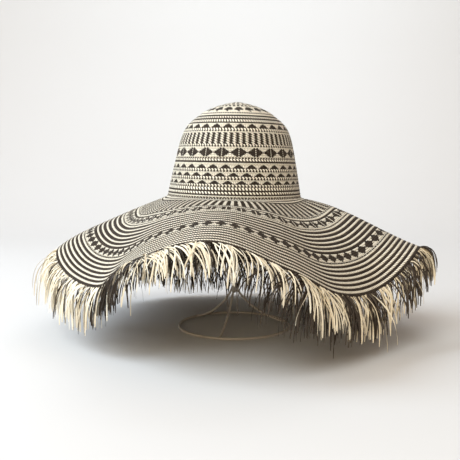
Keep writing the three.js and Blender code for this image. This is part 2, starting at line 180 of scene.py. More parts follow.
# Tufts that stand out of the fringe. spread is in degrees, length and width in millimetres, and lift is the rise off
# the brim. A bend below zero hangs late.
TUFTS = (
    dict(azimuth=-24, spread=8, count=56, length=70, turn=-72, lift=2, bend=-0.4, width=1.6, black=1),
    dict(azimuth=-35, spread=4, count=22, length=46, turn=-24, lift=-12, bend=2.6, width=1.8, black=1),
    dict(azimuth=-17, spread=9, count=34, length=38, turn=20, lift=-24, bend=2.6, width=1.4, black=1),
    dict(azimuth=-22, spread=5, count=22, length=50, turn=66, lift=4, bend=-0.5, width=1.5, black=0),
    dict(azimuth=-13, spread=9, count=20, length=56, turn=52, lift=6, bend=0.6, width=1.6, black=0),
    dict(azimuth=-27, spread=2, count=6, length=40, turn=-40, lift=26, bend=1.2, width=1.5, black=0),
    dict(azimuth=-22, spread=0.8, count=3, length=66, turn=-34, lift=-6, bend=3.5, width=2.6, black=0),
    dict(azimuth=-82, spread=10, count=16, length=72, turn=-8, lift=28, bend=1.8, width=1.4, black=0),
    dict(azimuth=-76, spread=5, count=16, length=46, turn=0, lift=0, bend=2.4, width=1.8, black=1),
    dict(azimuth=1, spread=12, count=24, length=54, turn=66, lift=10, bend=0.5, width=1.5, black=0),
    dict(azimuth=8, spread=10, count=11, length=52, turn=40, lift=8, bend=1.4, width=1.6, black=0),
    dict(azimuth=4, spread=9, count=14, length=74, turn=12, lift=-30, bend=2.2, width=1.2, black=1),
    dict(azimuth=16, spread=8, count=34, length=66, turn=-50, lift=-10, bend=0.4, width=2, black=1),
    dict(azimuth=20, spread=9, count=26, length=74, turn=18, lift=-24, bend=1.2, width=1.7, black=1),
    dict(azimuth=28, spread=8, count=34, length=62, turn=-60, lift=-10, bend=0.3, width=2, black=1),
    dict(azimuth=18, spread=2.5, count=13, length=70, turn=38, lift=10, bend=0.7, width=1.5, black=0),
    dict(azimuth=26, spread=4, count=12, length=66, turn=40, lift=12, bend=0.8, width=1.5, black=0),
    dict(azimuth=33, spread=2.5, count=30, length=60, turn=6, lift=22, bend=2.4, width=1.7, black=1),
    dict(azimuth=46, spread=3, count=30, length=58, turn=6, lift=20, bend=2.6, width=1.8, black=1),
    dict(azimuth=44, spread=3, count=3, length=84, turn=38, lift=16, bend=0.4, width=2, black=0),
    dict(azimuth=60, spread=2.5, count=22, length=54, turn=8, lift=22, bend=2.6, width=1.8, black=1),
    dict(azimuth=79, spread=7, count=64, length=50, turn=26, lift=30, bend=1.8, width=1.9, black=1),
)

LEG_PATH = (
    {"radius": 1.0, "height": 0.037},
    {"radius": 0.88, "height": 0.08},
    {"radius": 0.74, "height": 0.17},
    {"radius": 0.56, "height": 0.32},
    {"radius": 0.34, "height": 0.57},
    {"radius": 0.18, "height": 0.82},
    {"radius": 0.07, "height": 1.06},
    {"radius": 0.015, "height": 1.3},
)
ARM_PATH = (
    {"radius": 0.0, "height": -0.3},
    {"radius": 0.03, "height": 0.0},
    {"radius": 0.2, "height": 0.36},
    {"radius": 0.5, "height": 0.68},
    {"radius": 0.8, "height": 0.9},
    {"radius": 1.0, "height": 1.0},
)

# Charts of the woven bands: # is black straw, % wide black, + narrow black, o brown, . natural. growth is how far a
# stitch spreads sideways, as a share of its width. The first line is the row nearest the crown's base.
YARN = {
    ".": {"black": 0.0, "growth": 0.0},
    "o": {"black": 0.6, "growth": 0.0},
    "+": {"black": 1.0, "growth": NARROW},
    "#": {"black": 1.0, "growth": DARK_SPREAD},
    "%": {"black": 1.0, "growth": WIDE},
}
NATURAL = ("..", "..")
BLACK = ("##", "##")
BROWN = ("oo", "oo")
STROKES = ("+.", "+.")
DASHES = ("%.",)
ROUND_DOTS = ("#.",)
TRIANGLES = ("#######.", ".%%%%%..", ".+###+..", "..###...", "...%....")
BARS = ("##..",)
SPLIT_DIAMONDS = (
    "....#.#....",
    "...#####...",
    "..###.###..",
    ".#########.",
    "#####.#####",
    ".#########.",
    "..###.###..",
    "...#####...",
    "....#.#....",
)
SMALL_SPLIT_DIAMONDS = (
    "...#.#...",
    "..##.##..",
    ".###.###.",
    "####.####",
    ".###.###.",
    "..##.##..",
    "...#.#...",
)
DIAMONDS = (
    "...%....",
    "..%%%...",
    ".%%%%%..",
    "%%%%%%%.",
    "%%%%%%%.",
    ".%%%%%..",
    "..%%%...",
    "...%....",
)
STARS = (
    "....#....",
    "...##....",
    ".#######.",
    ".#######.",
    "..#####..",
    "...###...",
)


def band(end, units, chart, rows=None, middle=0.0, axis=0.5, lean=None):
    """A band of the weave that ends at a distance from the crown's base and repeats its chart round the hat.

    The chart's column axis, counted from its left edge, stands at the azimuth called middle. lean is the slant of
    its stitches.
    """
    chart = chart if rows is None else tuple(chart[i % len(chart)] for i in range(rows))
    lean = lean or (STITCH_LEAN if len(chart[0]) <= 4 else SHAPE_LEAN)
    return {"end": end, "units": units, "chart": chart, "middle": middle, "axis": axis, "lean": lean}


CROWN_BANDS = (
    band(1.3, 128, ROUND_DOTS),
    band(3.1, 128, NATURAL),
    band(5.0, 128, BLACK),
    band(8.3, 128, STROKES),
    band(10.2, 128, BLACK),
    band(14.2, 128, STROKES, middle=5.1),
    band(15.8, 128, ROUND_DOTS, middle=5.1),
    band(18.0, 128, STROKES, middle=5.1),
    band(22.5, 32, TRIANGLES, middle=5.1, axis=3.5),
    band(23.6, 128, NATURAL, 1),
    band(25.5, 128, ROUND_DOTS, middle=5.1),
    band(28.2, 128, STROKES, middle=5.1),
    band(32.9, 32, TRIANGLES, middle=-1.8, axis=3.5),
    band(34.2, 128, NATURAL, 1),
    band(36.1, 128, ROUND_DOTS, middle=-1.8),
    band(38.7, 128, STROKES, middle=-1.8),
    band(43.8, 32, TRIANGLES, middle=2.4, axis=3.5),
    band(44.8, 128, NATURAL, 1),
    band(46.4, 128, NATURAL),
    band(48.6, 128, BLACK),
    band(51.6, 128, STROKES),
    band(53.4, 128, ROUND_DOTS),
    band(54.1, 128, NATURAL, 1),
    band(66.1, 23, SPLIT_DIAMONDS, middle=2.3, axis=5.5),
    band(67.4, 124, NATURAL, 1),
    band(69.2, 124, ROUND_DOTS),
    band(71.2, 124, STROKES),
    band(86.9, 60, BARS, 10, middle=0.8, axis=1.0, lean=BAR_LEAN),
    band(88.4, 120, NATURAL, 1),
    band(90.2, 112, ROUND_DOTS, middle=3.3),
    band(93.7, 112, STROKES, middle=3.3),
    band(100.0, 28, TRIANGLES, middle=3.3, axis=3.5),
    band(101.0, 112, NATURAL, 1),
    band(103.8, 112, BLACK),
    band(108.7, 112, STROKES),
    band(111.6, 108, BLACK),
    band(115.8, 106, STROKES),
    band(119.0, 104, BLACK),
    band(122.4, 90, NATURAL),
    band(124.6, 100, ROUND_DOTS),
    band(126.4, 100, NATURAL, 1),
    band(141.4, 19, STARS, middle=2.2, axis=4.5),
    band(144.5, 60, NATURAL),
    band(149.5, 34, ROUND_DOTS),
    band(153.5, 34, NATURAL),
    band(159.5, 20, ROUND_DOTS),
    band(165.0, 20, NATURAL),
    band(171.0, 11, ROUND_DOTS),
    band(178.4, 10, BROWN),
)

BRIM_BANDS = (
    band(1.8, 162, ROUND_DOTS),
    band(4.6, 164, NATURAL),
    band(6.8, 166, BLACK),
    band(10.2, 170, NATURAL),
    band(12.6, 174, BLACK),
    band(13.6, 176, NATURAL, 1),
    band(46.0, 88, BARS, 20, middle=0.35, axis=1.0, lean=BAR_LEAN),
    band(47.0, 190, NATURAL, 1),
    band(49.2, 190, ROUND_DOTS),
    band(52.8, 200, NATURAL),
    band(55.6, 210, BLACK),
    band(69.0, 54, SMALL_SPLIT_DIAMONDS, middle=2.8, axis=4.5),
    band(71.3, 220, NATURAL),
    band(73.0, 220, DASHES),
    band(76.1, 224, NATURAL),
    band(80.3, 226, BLACK),
    band(83.4, 228, NATURAL),
    band(87.5, 230, BLACK),
    band(90.7, 232, NATURAL),
    band(94.9, 234, BLACK),
    band(98.0, 236, NATURAL),
    band(102.1, 238, BLACK),
    band(105.0, 240, NATURAL),
    band(108.9, 242, BLACK),
    band(111.7, 244, NATURAL),
    band(115.7, 246, BLACK),
    band(128.5, 87, DIAMONDS, axis=3.5),
    band(129.4, 250, NATURAL, 1),
    band(131.0, 250, DASHES),
    band(133.9, 254, NATURAL),
    band(137.2, 256, BLACK),
    band(140.2, 258, NATURAL),
    band(143.4, 260, BLACK),
    band(146.5, 262, NATURAL),
    band(149.8, 264, BLACK),
    band(153.0, 266, NATURAL),
    band(156.3, 268, BLACK),
    band(159.4, 270, NATURAL),
    band(162.6, 272, BLACK),
    band(165.7, 274, NATURAL),
    band(168.9, 276, BLACK),
    band(172.2, 278, NATURAL),
    band(175.5, 280, BLACK),
)


# Shapes shared by the pieces


def around_hat(table, column, azimuth):
    """A column of a table at azimuths in degrees: a smooth curve through its rows that closes round the hat."""
    at = np.array([row["azimuth"] for row in table], float)
    value = np.array([row[column] for row in table], float)
    at = np.concatenate([at[-2:] - 360, at, at[:3] + 360])
    value = np.concatenate([value[-2:], value, value[:3]])
    slope = np.zeros_like(value)
    slope[1:-1] = (value[2:] - value[:-2]) / (at[2:] - at[:-2])
    turn = (np.asarray(azimuth, float) - at[2]) % 360 + at[2]
    i = np.clip(np.searchsorted(at, turn, side="right") - 1, 1, len(at) - 3)
    span = at[i + 1] - at[i]
    t = (turn - at[i]) / span
    return (
        (2 * t**3 - 3 * t**2 + 1) * value[i]
        + (t**3 - 2 * t**2 + t) * slope[i] * span
        + (3 * t**2 - 2 * t**3) * value[i + 1]
        + (t**3 - t**2) * slope[i + 1] * span
    )


def polar(radius, height, azimuth):
    angle = np.radians(azimuth)
    return np.stack(np.broadcast_arrays(radius * np.sin(angle), -radius * np.cos(angle), height), -1)


def unit(vectors):
    return vectors / np.linalg.norm(vectors, axis=-1, keepdims=True)


def smooth_path(points, steps):
    """A smooth curve through points, with steps between each two."""
    points = np.asarray(points, float)
    ends = np.concatenate([points[:1], points, points[-1:]])
    t = np.arange(steps)[:, None] / steps
    pieces = []
    for before, low, high, after in zip(ends, ends[1:], ends[2:], ends[3:]):
        leave, arrive = (high - before) / 2, (after - low) / 2
        pieces.append(
            (2 * low - 2 * high + leave + arrive) * t**3
            + (3 * high - 3 * low - 2 * leave - arrive) * t**2
            + leave * t
            + low
        )
    return np.concatenate(pieces + [points[-1:]])


def brim_slope(azimuth, along):
    """The brim's slope in radians at azimuths and distances out along the weave."""
    t = along / BRIM_WIDTH
    start, middle, end = (around_hat(BRIM_FOLDS, name, azimuth) for name in ("start", "middle", "end"))
    folded = BRIM_DROOP * (start * (1 - t) * (1 - 2 * t) + middle * 4 * t * (1 - t) + end * t * (2 * t - 1))
    turning = np.clip(1 - along / BRIM_TURN_LENGTH, 0, None) ** 2
    return np.radians(folded + (CROWN_WALL_SLOPE - folded) * turning)


class Wall:
    """The outer face of a hat wall, sampled by azimuth and by distance along the weave."""

    def __init__(self, points, length, outward):
        self.points, self.length = points, length
        around = np.roll(points, -1, 0) - np.roll(points, 1, 0)
        along = np.gradient(points, axis=1)
        self.along = unit(along)
        self.normal = unit(np.cross(along, around)) * outward

    def sample(self, azimuth, along):
        """Points, outward normals and directions along the weave."""
        count, rows = self.points.shape[:2]
        a = (np.asarray(azimuth, float) % 360) / 360 * count
        s = np.clip(np.asarray(along, float) / self.length, 0, 1) * (rows - 1)
        a, s = np.broadcast_arrays(a, s)
        i, j = a.astype(int) % count, np.minimum(s.astype(int), rows - 2)
        f, g = (a - np.floor(a))[..., None], (s - j)[..., None]
        k = (i + 1) % count

        def mix(grid):
            near = grid[i, j] * (1 - g) + grid[i, j + 1] * g
            far = grid[k, j] * (1 - g) + grid[k, j + 1] * g
            return near * (1 - f) + far * f

        return mix(self.points), unit(mix(self.normal)), unit(mix(self.along))


def brim_wall():
    azimuth = np.arange(720)[:, None] / 2
    steps = 362
    step = BRIM_WIDTH / steps
    slope = brim_slope(azimuth, (np.arange(steps)[None, :] + 0.5) * step)
    start = np.zeros((720, 1))
    radius = CROWN_BASE_RADIUS + np.concatenate([start, np.cumsum(np.cos(slope) * step, 1)], 1)
    height = -np.concatenate([start, np.cumsum(np.sin(slope) * step, 1)], 1)
    return Wall(polar(radius, height, azimuth), BRIM_WIDTH, 1)


def crown_wall():
    corners = [(row["radius"] * CROWN_BASE_RADIUS, row["height"] * CROWN_HEIGHT) for row in CROWN_OUTLINE]
    outline = smooth_path(corners, 40)
    run = np.concatenate([[0], np.cumsum(np.linalg.norm(np.diff(outline, axis=0), axis=1))])
    even = np.linspace(0, run[-1], 364)
    radius, height = np.interp(even, run, outline[:, 0]), np.interp(even, run, outline[:, 1])
    points = polar(np.maximum(radius, 0.05)[None, :], height[None, :], np.arange(360)[:, None])
    points[..., 0] += CROWN_SKEW * points[..., 2]
    return Wall(points, run[-1], -1)


stand_low, stand_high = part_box("wire_stand")
STAND_AXIS = ((stand_low + stand_high) / 2).xy


def standing(points):
    """Points on the stand's upright axis, in the part's frame in metres."""
    return np.asarray(points) * 0.001 + np.array([STAND_AXIS.x, STAND_AXIS.y, 0])


def worn(points):
    """Points in the hat's own frame, leaned and set at its height on the stand, in metres."""
    points = np.asarray(points)
    x, y, z = points[..., 0], points[..., 1], points[..., 2]
    lean = np.stack(
        [
            x * math.cos(HAT_LEAN) + z * math.sin(HAT_LEAN),
            y,
            z * math.cos(HAT_LEAN) - x * math.sin(HAT_LEAN) + CROWN_BASE_HEIGHT,
        ],
        -1,
    )
    return standing(lean)


def mesh_piece(name, node, material, vertices, faces, uvs=(), face_values=(), smooth=True):
    """A piece made in one go: equal-sided faces, UV maps by corner and numbers by face."""
    faces = np.asarray(faces, np.int32)
    sides = faces.shape[1]
    mesh = bpy.data.meshes.new(name)
    mesh.vertices.add(len(vertices))
    mesh.vertices.foreach_set("co", np.asarray(vertices, np.float32).ravel())
    mesh.loops.add(faces.size)
    mesh.loops.foreach_set("vertex_index", faces.ravel())
    mesh.polygons.add(len(faces))
    mesh.polygons.foreach_set("loop_start", np.arange(len(faces), dtype=np.int32) * sides)
    for title, values in uvs:
        mesh.uv_layers.new(name=title).data.foreach_set("uv", np.asarray(values, np.float32).ravel())
    for title, values in face_values:
        mesh.attributes.new(title, "FLOAT", "FACE").data.foreach_set("value", np.asarray(values, np.float32).ravel())
    mesh.polygons.foreach_set("use_smooth", np.full(len(faces), smooth))
    mesh.update(calc_edges=True)
    mesh.validate()
    mesh.materials.append(material)
    piece = bpy.data.objects.new(name, mesh)
    bpy.context.scene.collection.objects.link(piece)
    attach(piece, "root")
    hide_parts(node)
    return piece


# The weave


class Weave:
    """Rows of stitches laid on a wall: one face for each half stitch, in the colours of the bands' charts."""

    def __init__(self, wall, outward, seed):
        self.wall, self.outward = wall, outward
        self.random = np.random.default_rng(seed)
        self.vertices, self.faces = [], []
        self.stitch, self.chart_place = [], []
        self.black, self.inner = [], []
        self.count, self.row = 0, 0

    def line(self, along, columns, start, height, slide=0.0):
        """One line of stitch corners round the hat, slid sideways by shares of a stitch."""
        azimuth = start + 360 * (np.arange(columns) + slide + self.random.normal(0, 0.04, columns)) / columns
        point, normal, _ = self.wall.sample(azimuth, along + self.random.normal(0, 0.05, columns))
        self.vertices.append(point + normal * np.reshape(height, (-1, 1)))
        self.count += columns
        return np.arange(columns) + self.count - columns

    def cells(self, low, high, black, inner, place):
        """The stitches between two lines."""
        columns = len(low)
        right = np.roll(np.arange(columns), -1)
        quads = np.stack([low, high, high[right], low[right]], 1)
        i = np.arange(columns)
        corners = ((0, 0), (0, 1), (1, 1), (1, 0))
        stitch = np.stack([np.stack([i + a, np.full(columns, self.row + b)], 1) for a, b in corners], 1)
        chart = np.stack([np.stack([(i + a) / columns, np.full(columns, place[b])], 1) for a, b in corners], 1)
        if (self.outward > 0) == bool(inner):
            quads, stitch, chart = quads[:, ::-1], stitch[:, ::-1], chart[:, ::-1]
        self.faces.append(quads)
        self.stitch.append(stitch)
        self.chart_place.append(chart)
        self.black.append(black)
        self.inner.append(np.full(columns, float(inner)))
        self.row += 1

    def outer_face(self, bands, span):
        """Every band in turn. Two rows make one rounded cord of slanting stitches."""
        total, run = bands[-1]["end"], 0.0
        for b in bands:
            chart = np.array([[YARN[c]["black"] for c in line] for line in b["chart"]])
            growth = np.array([[YARN[c]["growth"] for c in line] for line in b["chart"]])
            rows, width = chart.shape
            lean = self.outward * b["lean"]
            columns = b["units"] * width
            start = b["middle"] - 360 * b["axis"] / columns
            step = (b["end"] - run) / rows
            self.row += self.row % 2
            for k in range(rows):
                black = np.tile(chart[k], b["units"])
                grown = np.tile(growth[k], b["units"])
                spread = np.roll(grown, 1) - grown
                half = self.row % 2
                lines = [
                    self.line(
                        run + (k + e) * step,
                        columns,
                        start,
                        CORD_RELIEF * (1 if e != half else 0.1),
                        spread + lean * (half + e - 1) / 2,
                    )
                    for e in (0, 1)
                ]
                self.cells(*lines, black, 0, [span * (run + (k + e) * step) / total for e in (0, 1)])
            run = b["end"]

    def inner_face(self, bands, span):
        """The wall's inside: black straw carried behind, with natural dots where the outside is black."""
        total, run = bands[-1]["end"], 0.0
        self.row = 0
        for b in bands:
            rows = max(1, round(len(b["chart"]) / 2))
            chart = np.array([[YARN[c]["black"] for c in line] for line in b["chart"]])
            columns = b["units"] * chart.shape[1]
            length = b["end"] - run
            lines = [
                self.line(run + length * k / rows, columns, b["middle"], -LINING_DEPTH - (0.3 if k % 2 else 0.0))
                for k in range(rows + 1)
            ]
            for k in range(rows):
                outside = np.tile(chart[min(2 * k, len(chart) - 1)], b["units"])
                dots = (np.arange(columns) + k) % 2 == 0
                place = [span + (1 - span) * (run + length * (k + e) / rows) / total for e in (0, 1)]
                self.cells(lines[k], lines[k + 1], 1 - outside * dots, 1, place)
            run = b["end"]

    def piece(self, name, node, material_slot, material):
        return mesh_piece(
            name,
            node,
            material,
            worn(np.concatenate(self.vertices)),
            np.concatenate(self.faces),
            (("stitch", np.concatenate(self.stitch)), ("OFBake", np.concatenate(self.chart_place))),
            (("black", np.concatenate(self.black)), ("inside", np.concatenate(self.inner))),
        )


def crown_weave(wall, material):
    weave = Weave(wall, -1, 11)
    weave.outer_face(CROWN_BANDS, OUTER_SHARE)
    weave.inner_face(CROWN_BANDS, OUTER_SHARE)
    return weave.piece("crown_weave", "crown", "crown_weave", material)


def brim_weave(wall, material):
    weave = Weave(wall, 1, 23)
    weave.outer_face(BRIM_BANDS, OUTER_SHARE)
    columns = 2 * BRIM_BANDS[-1]["units"]
    edge = [weave.line(BRIM_WIDTH, columns, 0.0, height) for height in EDGE_HEIGHTS]
    out = wall.sample(np.arange(columns) * 360 / columns, BRIM_WIDTH)[2]
    for k in (-3, -2):
        weave.vertices[k] = weave.vertices[k] + out * EDGE_SWELL
    for k in range(3):
        low = OUTER_SHARE + EDGE_SHARE * k
        weave.cells(edge[k], edge[k + 1], np.ones(columns), 0, (low, low + EDGE_SHARE))
    weave.inner_face(BRIM_BANDS, OUTER_SHARE + 5 * EDGE_SHARE)
    return weave.piece("brim_weave", "brim", "brim_weave", material)


# The fringe


def bunches(random):
    """Every strip's place, direction and kind: bunches all round, black ones mostly lower, and the tufts."""
    strips = []
    for number in range(FRINGE_BUNCHES):
        middle = (number + random.uniform(-0.3, 0.3)) * 360 / FRINGE_BUNCHES - 180
        row = {name: float(around_hat(FRINGE, name, middle)) for name in FRINGE[0] if name != "azimuth"}
        black = random.random() < row["black"]
        turn = row["turn"] + random.normal(0, row["splay"])
        lift = random.normal(-10 if black else 6, 8)
        bend = row["bend"] * random.uniform(0.65, 1.35)
        for _ in range(int(row["amount"] + random.random())):
            strips.append(
                {
                    "azimuth": middle + random.normal(0, 0.5),
                    "length": STRAND_LENGTH * row["length"] * random.uniform(0.68, 1.06) * (0.9 if black else 1.0),
                    "turn": turn + random.normal(0, 7),
                    "lift": lift + random.normal(0, 4),
                    "bend": bend * random.uniform(0.85, 1.15),
                    "curl": random.normal(0, 0.28),
                    "width": random.uniform(1.1, 1.9) if black else random.uniform(1.2, 2.1),
                    "black": black if random.random() < 0.85 else not black,
                }
            )
    for tuft in TUFTS:
        for _ in range(tuft["count"]):
            strips.append(
                {
                    "azimuth": tuft["azimuth"] + random.normal(0, tuft["spread"] / 2),
                    "length": tuft["length"] * random.uniform(0.75, 1.05),
                    "turn": tuft["turn"] + random.normal(0, 9),
                    "lift": tuft["lift"] + random.normal(0, 6),
                    "bend": tuft["bend"] * random.uniform(0.8, 1.2),
                    "curl": random.normal(0, 0.35 if tuft["width"] > 1 else 0.9),
                    "width": tuft["width"] * random.uniform(0.75, 1.1),
                    "black": bool(tuft["black"]),
                }
            )
    return strips


def fringe_strands(wall, material):
    """Flat strips of straw that leave the rim and bend down, kept just off the floor."""
    random = np.random.default_rng(5)
    sections = STRAND_SECTIONS
    strips = bunches(random)
    vertices = []
    for strip in strips:
        edge, up, out = (x[0] for x in wall.sample(np.array([strip["azimuth"]]), np.array([BRIM_WIDTH])))
        side = unit(np.cross(up, out))
        turn, tilt = math.radians(strip["turn"]), math.radians(strip["lift"])
        aim = (out * math.cos(turn) + side * math.sin(turn)) * math.cos(tilt) + up * math.sin(tilt)
        start = edge + up * random.uniform(-1.6, -0.2) - out * 0.8
        path = strand_path(start, aim, side, strip["length"], strip["bend"], strip["curl"])
        lowest = worn(path)[:, 2].min() * 1000
        if lowest < FLOOR_CLEARANCE:
            rim = float(worn(start)[2]) * 1000
            length = strip["length"] * max(0.3, (rim - FLOOR_CLEARANCE) / (rim - lowest)) * random.uniform(0.86, 1.0)
            path = strand_path(start, aim, side, length, strip["bend"], strip["curl"])
        twist = random.normal(0, 0.5) + np.linspace(0, random.normal(0, 1.3), sections + 1)
        vertices.append(strand_ribbon(path, side, strip["width"], twist).reshape(-1, 3))
    count, points = len(strips), 3 * (sections + 1)
    k = 3 * np.arange(sections)[:, None, None]
    quads = k + np.array([[0, 3, 4, 1], [1, 4, 5, 2]])
    faces = (np.arange(count)[:, None, None, None] * points + quads).reshape(-1, 4)
    across = np.array([[0, 0, 0.5, 0.5], [0.5, 0.5, 1, 1]]) + 0 * k
    along = np.arange(sections)[:, None, None] + np.array([0, 1, 1, 0]) + 0 * across
    uv = np.tile(np.stack([across, along], -1).reshape(-1, 2), (count, 1))
    place = np.repeat(np.arange(count), 8 * sections)
    # How brown each pale strip is: its own colour, raised on the right side as painted shade where less light falls;
    # tone carries both.
    tan_and_shade = around_hat(FRINGE, "tan_and_shade", np.array([strip["azimuth"] for strip in strips]))
    tone = np.clip(tan_and_shade + random.normal(0, 0.2, count), 0, 1)
    columns = 60
    rows = count // columns + 1
    map_u = (place % columns + 0.08 + 0.84 * uv[:, 0]) / columns
    map_v = (place // columns + 0.04 + 0.92 * uv[:, 1] / sections) / rows
    return mesh_piece(
        "fringe_strands",
        "fringe",
        material,
        worn(np.concatenate(vertices)),
        faces,
        (("strand", uv), ("OFBake", np.stack([map_u, map_v], 1))),
        (
            ("black", np.repeat([float(strip["black"]) for strip in strips], 2 * sections)),
            ("tone", np.repeat(tone, 2 * sections)),
        ),
    )


def strand_path(start, aim, side, length, bend, curl):
    """A strip's middle line: it leaves along aim and bends down to hang."""
    steps = STRAND_SECTIONS * STEPS_IN_SECTION
    down = np.array([0.0, 0.0, -1.0])
    point = start.copy()
    path = [point.copy()]
    for i in range(steps):
        t = (i + 0.5) / steps
        hang = (1 - math.exp(-bend * t)) / (1 - math.exp(-bend))
        way = aim * (1 - hang) + down * hang * 1.05 + side * curl * math.sin(3.1 * t)
        point = point + unit(way) * length / steps
        if (i + 1) % STEPS_IN_SECTION == 0:
            path.append(point.copy())
    return np.array(path)


def strand_ribbon(path, side, width, twist):
    """Three points across at each section: a shallow fold down the strip's middle."""
    way = unit(np.gradient(path, axis=0))
    across = unit(side - way * (way @ side)[:, None])
    face = np.cross(way, across)
    c, s = np.cos(twist)[:, None], np.sin(twist)[:, None]
    across, face = across * c + face * s, face * c - across * s
    shrink = np.array([1.0] * (len(path) - 1) + [0.55])[:, None]
    half = across * width / 2 * shrink
    return np.stack([path - half, path + face * width * 0.16, path + half], 1)


# The stand


def tube(path, diameter, sides=12, closed=False):
    """Rings of points round a path, and the faces between them."""
    path = np.asarray(path, float)
    if closed:
        way = unit(np.roll(path, -1, 0) - np.roll(path, 1, 0))
    else:
        way = unit(np.gradient(path, axis=0))
    across = unit(np.cross(way, [0.31, 0.17, 0.93]))
    face = np.cross(way, across)
    angle = np.arange(sides) * 2 * math.pi / sides
    ring = (
        path[:, None]
        + across[:, None] * np.cos(angle)[None, :, None] * diameter / 2
        + face[:, None] * np.sin(angle)[None, :, None] * diameter / 2
    )
    i = np.arange(len(path) if closed else len(path) - 1)[:, None] * sides
    j = np.arange(sides)[None, :]
    k = (j + 1) % sides
    step = (i + sides) % (len(path) * sides)
    quads = np.stack([i + j, i + k, step + k, step + j], -1).reshape(-1, 4)
    return ring.reshape(-1, 3), quads


def solder(point, radius):
    """A small rounded joint where wires meet."""
    heights = np.linspace(-1, 1, 9)
    path = np.array([[0, 0, h * radius] for h in heights]) + point
    ring, quads = tube(path, 2 * radius, 12)
    middle = np.repeat(path, 12, 0)
    swell = np.repeat(np.sqrt(np.clip(1 - heights**2, 0.02, 1)), 12)[:, None]
    return middle + (ring - middle) * swell, quads


def wire_frame(material):
    turn = np.arange(96) * 360 / 96
    rise = TOP_RING_HEIGHT - STEM_TOP_HEIGHT
    shapes = [
        tube(polar(BASE_RING_RADIUS, WIRE_DIAMETER / 2, turn), WIRE_DIAMETER, closed=True),
        tube(polar(TOP_RING_RADIUS, TOP_RING_HEIGHT, turn), WIRE_DIAMETER, closed=True),
        tube([(0, 0, h) for h in np.linspace(STEM_FOOT_HEIGHT, STEM_TOP_HEIGHT, 24)], STEM_DIAMETER, 16),
        solder(np.array([0, 0, STEM_FOOT_HEIGHT + 2]), STEM_DIAMETER * 0.62),
        solder(np.array([0, 0, STEM_TOP_HEIGHT]), STEM_DIAMETER * 0.62),
    ]
    for i in range(LEG_COUNT):
        azimuth = FIRST_LEG_AZIMUTH + i * 360 / LEG_COUNT
        leg = [polar(row["radius"] * BASE_RING_RADIUS, row["height"] * STEM_FOOT_HEIGHT, azimuth) for row in LEG_PATH]
        arm = [
            polar(row["radius"] * TOP_RING_RADIUS, STEM_TOP_HEIGHT + row["height"] * rise, azimuth)
            for row in ARM_PATH
        ]
        shapes.append(tube(smooth_path(leg, 6), WIRE_DIAMETER * 0.94))
        shapes.append(tube(smooth_path(arm, 5), WIRE_DIAMETER * 0.94))
        shapes.append(solder(polar(BASE_RING_RADIUS - 0.6, WIRE_DIAMETER / 2 + 0.4, azimuth), WIRE_DIAMETER * 0.5))
    vertices, faces, count = [], [], 0
    for points, quads in shapes:
        vertices.append(points)
        faces.append(quads + count)
        count += len(points)
    return mesh_piece(
        "wire_frame", "wire_stand", material, standing(np.concatenate(vertices)), np.concatenate(faces)
    )


# Materials


class Shade:
    """A shader value. Arithmetic on it adds Math nodes."""

    def __init__(self, finish, socket):
        self.finish, self.socket = finish, socket

    def maths(self, operation, *others):
        return self.finish.node("ShaderNodeMath", {"operation": operation}, (self, *others))

    def __add__(self, other):
        return self.maths("ADD", other)

    def __sub__(self, other):
        return self.maths("SUBTRACT", other)

    def __mul__(self, other):
        return self.maths("MULTIPLY", other)

    def __radd__(self, other):
        return self + other

    def __rmul__(self, other):
        return self * other

    def __rsub__(self, other):
        return (self * -1.0) + other

    def fraction(self):
        return self.maths("FRACT")

    def floor(self):
        return self.maths("FLOOR")

    def clamp(self, low=0.0, high=1.0):
        return self.maths("MAXIMUM", low).maths("MINIMUM", high)

    def ramp(self, low, high):
        """0 below low, 1 above high, smooth between."""
        return self.finish.node(
            "ShaderNodeMapRange", {"interpolation_type": "SMOOTHSTEP"}, (self, low, high, 0.0, 1.0)
        )


class Finish:
    """One material under construction."""

    def __init__(self, name):
        self.material = bpy.data.materials.new(name)
        self.material.use_nodes = True
        self.tree = self.material.node_tree
        self.tree.nodes.clear()
        self.shader = self.tree.nodes.new("ShaderNodeBsdfPrincipled")
        output = self.tree.nodes.new("ShaderNodeOutputMaterial")
        self.tree.links.new(self.shader.outputs["BSDF"], output.inputs["Surface"])

    def put(self, socket, value):
        if isinstance(value, Shade):
            self.tree.links.new(value.socket, socket)
        elif value is not None:
            if isinstance(value, tuple) and len(value) == 3 and socket.type == "RGBA":
                value = (*value, 1.0)
            socket.default_value = value

    def node(self, kind, settings=None, values=(), out=0):
        """Any node: its settings first, then its sockets by position or by name."""
        made = self.tree.nodes.new(kind)
        for name, value in (settings or {}).items():
            setattr(made, name, value)
        sockets = values.items() if isinstance(values, dict) else enumerate(values)
        for key, value in sockets:
            self.put(made.inputs[key], value)
        return Shade(self, made.outputs[out])

    def mix(self, share, first, second):
        """Colours mixed by a share."""
        made = self.tree.nodes.new("ShaderNodeMix")
        made.data_type = "RGBA"
        for key, value in ((0, share), (6, first), (7, second)):
            self.put(made.inputs[key], value)
        return Shade(self, made.outputs[2])

    def attribute(self, name):
        return self.node("ShaderNodeAttribute", {"attribute_name": name}, out="Fac")

    def uv(self, name):
        place = self.node("ShaderNodeUVMap", {"uv_map": name})
        parts = self.node("ShaderNodeSeparateXYZ", None, (place,))
        return parts, Shade(self, parts.socket.node.outputs[1])

    def vector(self, *parts):
        return self.node("ShaderNodeCombineXYZ", None, parts)

    def noise(self, place, scale, detail=2.0, roughness=0.5):
        values = {"Vector": place, "Scale": scale, "Detail": detail, "Roughness": roughness}
        return self.node("ShaderNodeTexNoise", None, values, out="Fac")

    def done(self, **sockets):
        for name, value in sockets.items():
            self.put(self.shader.inputs[name.replace("_", " ")], value)
        return self.material


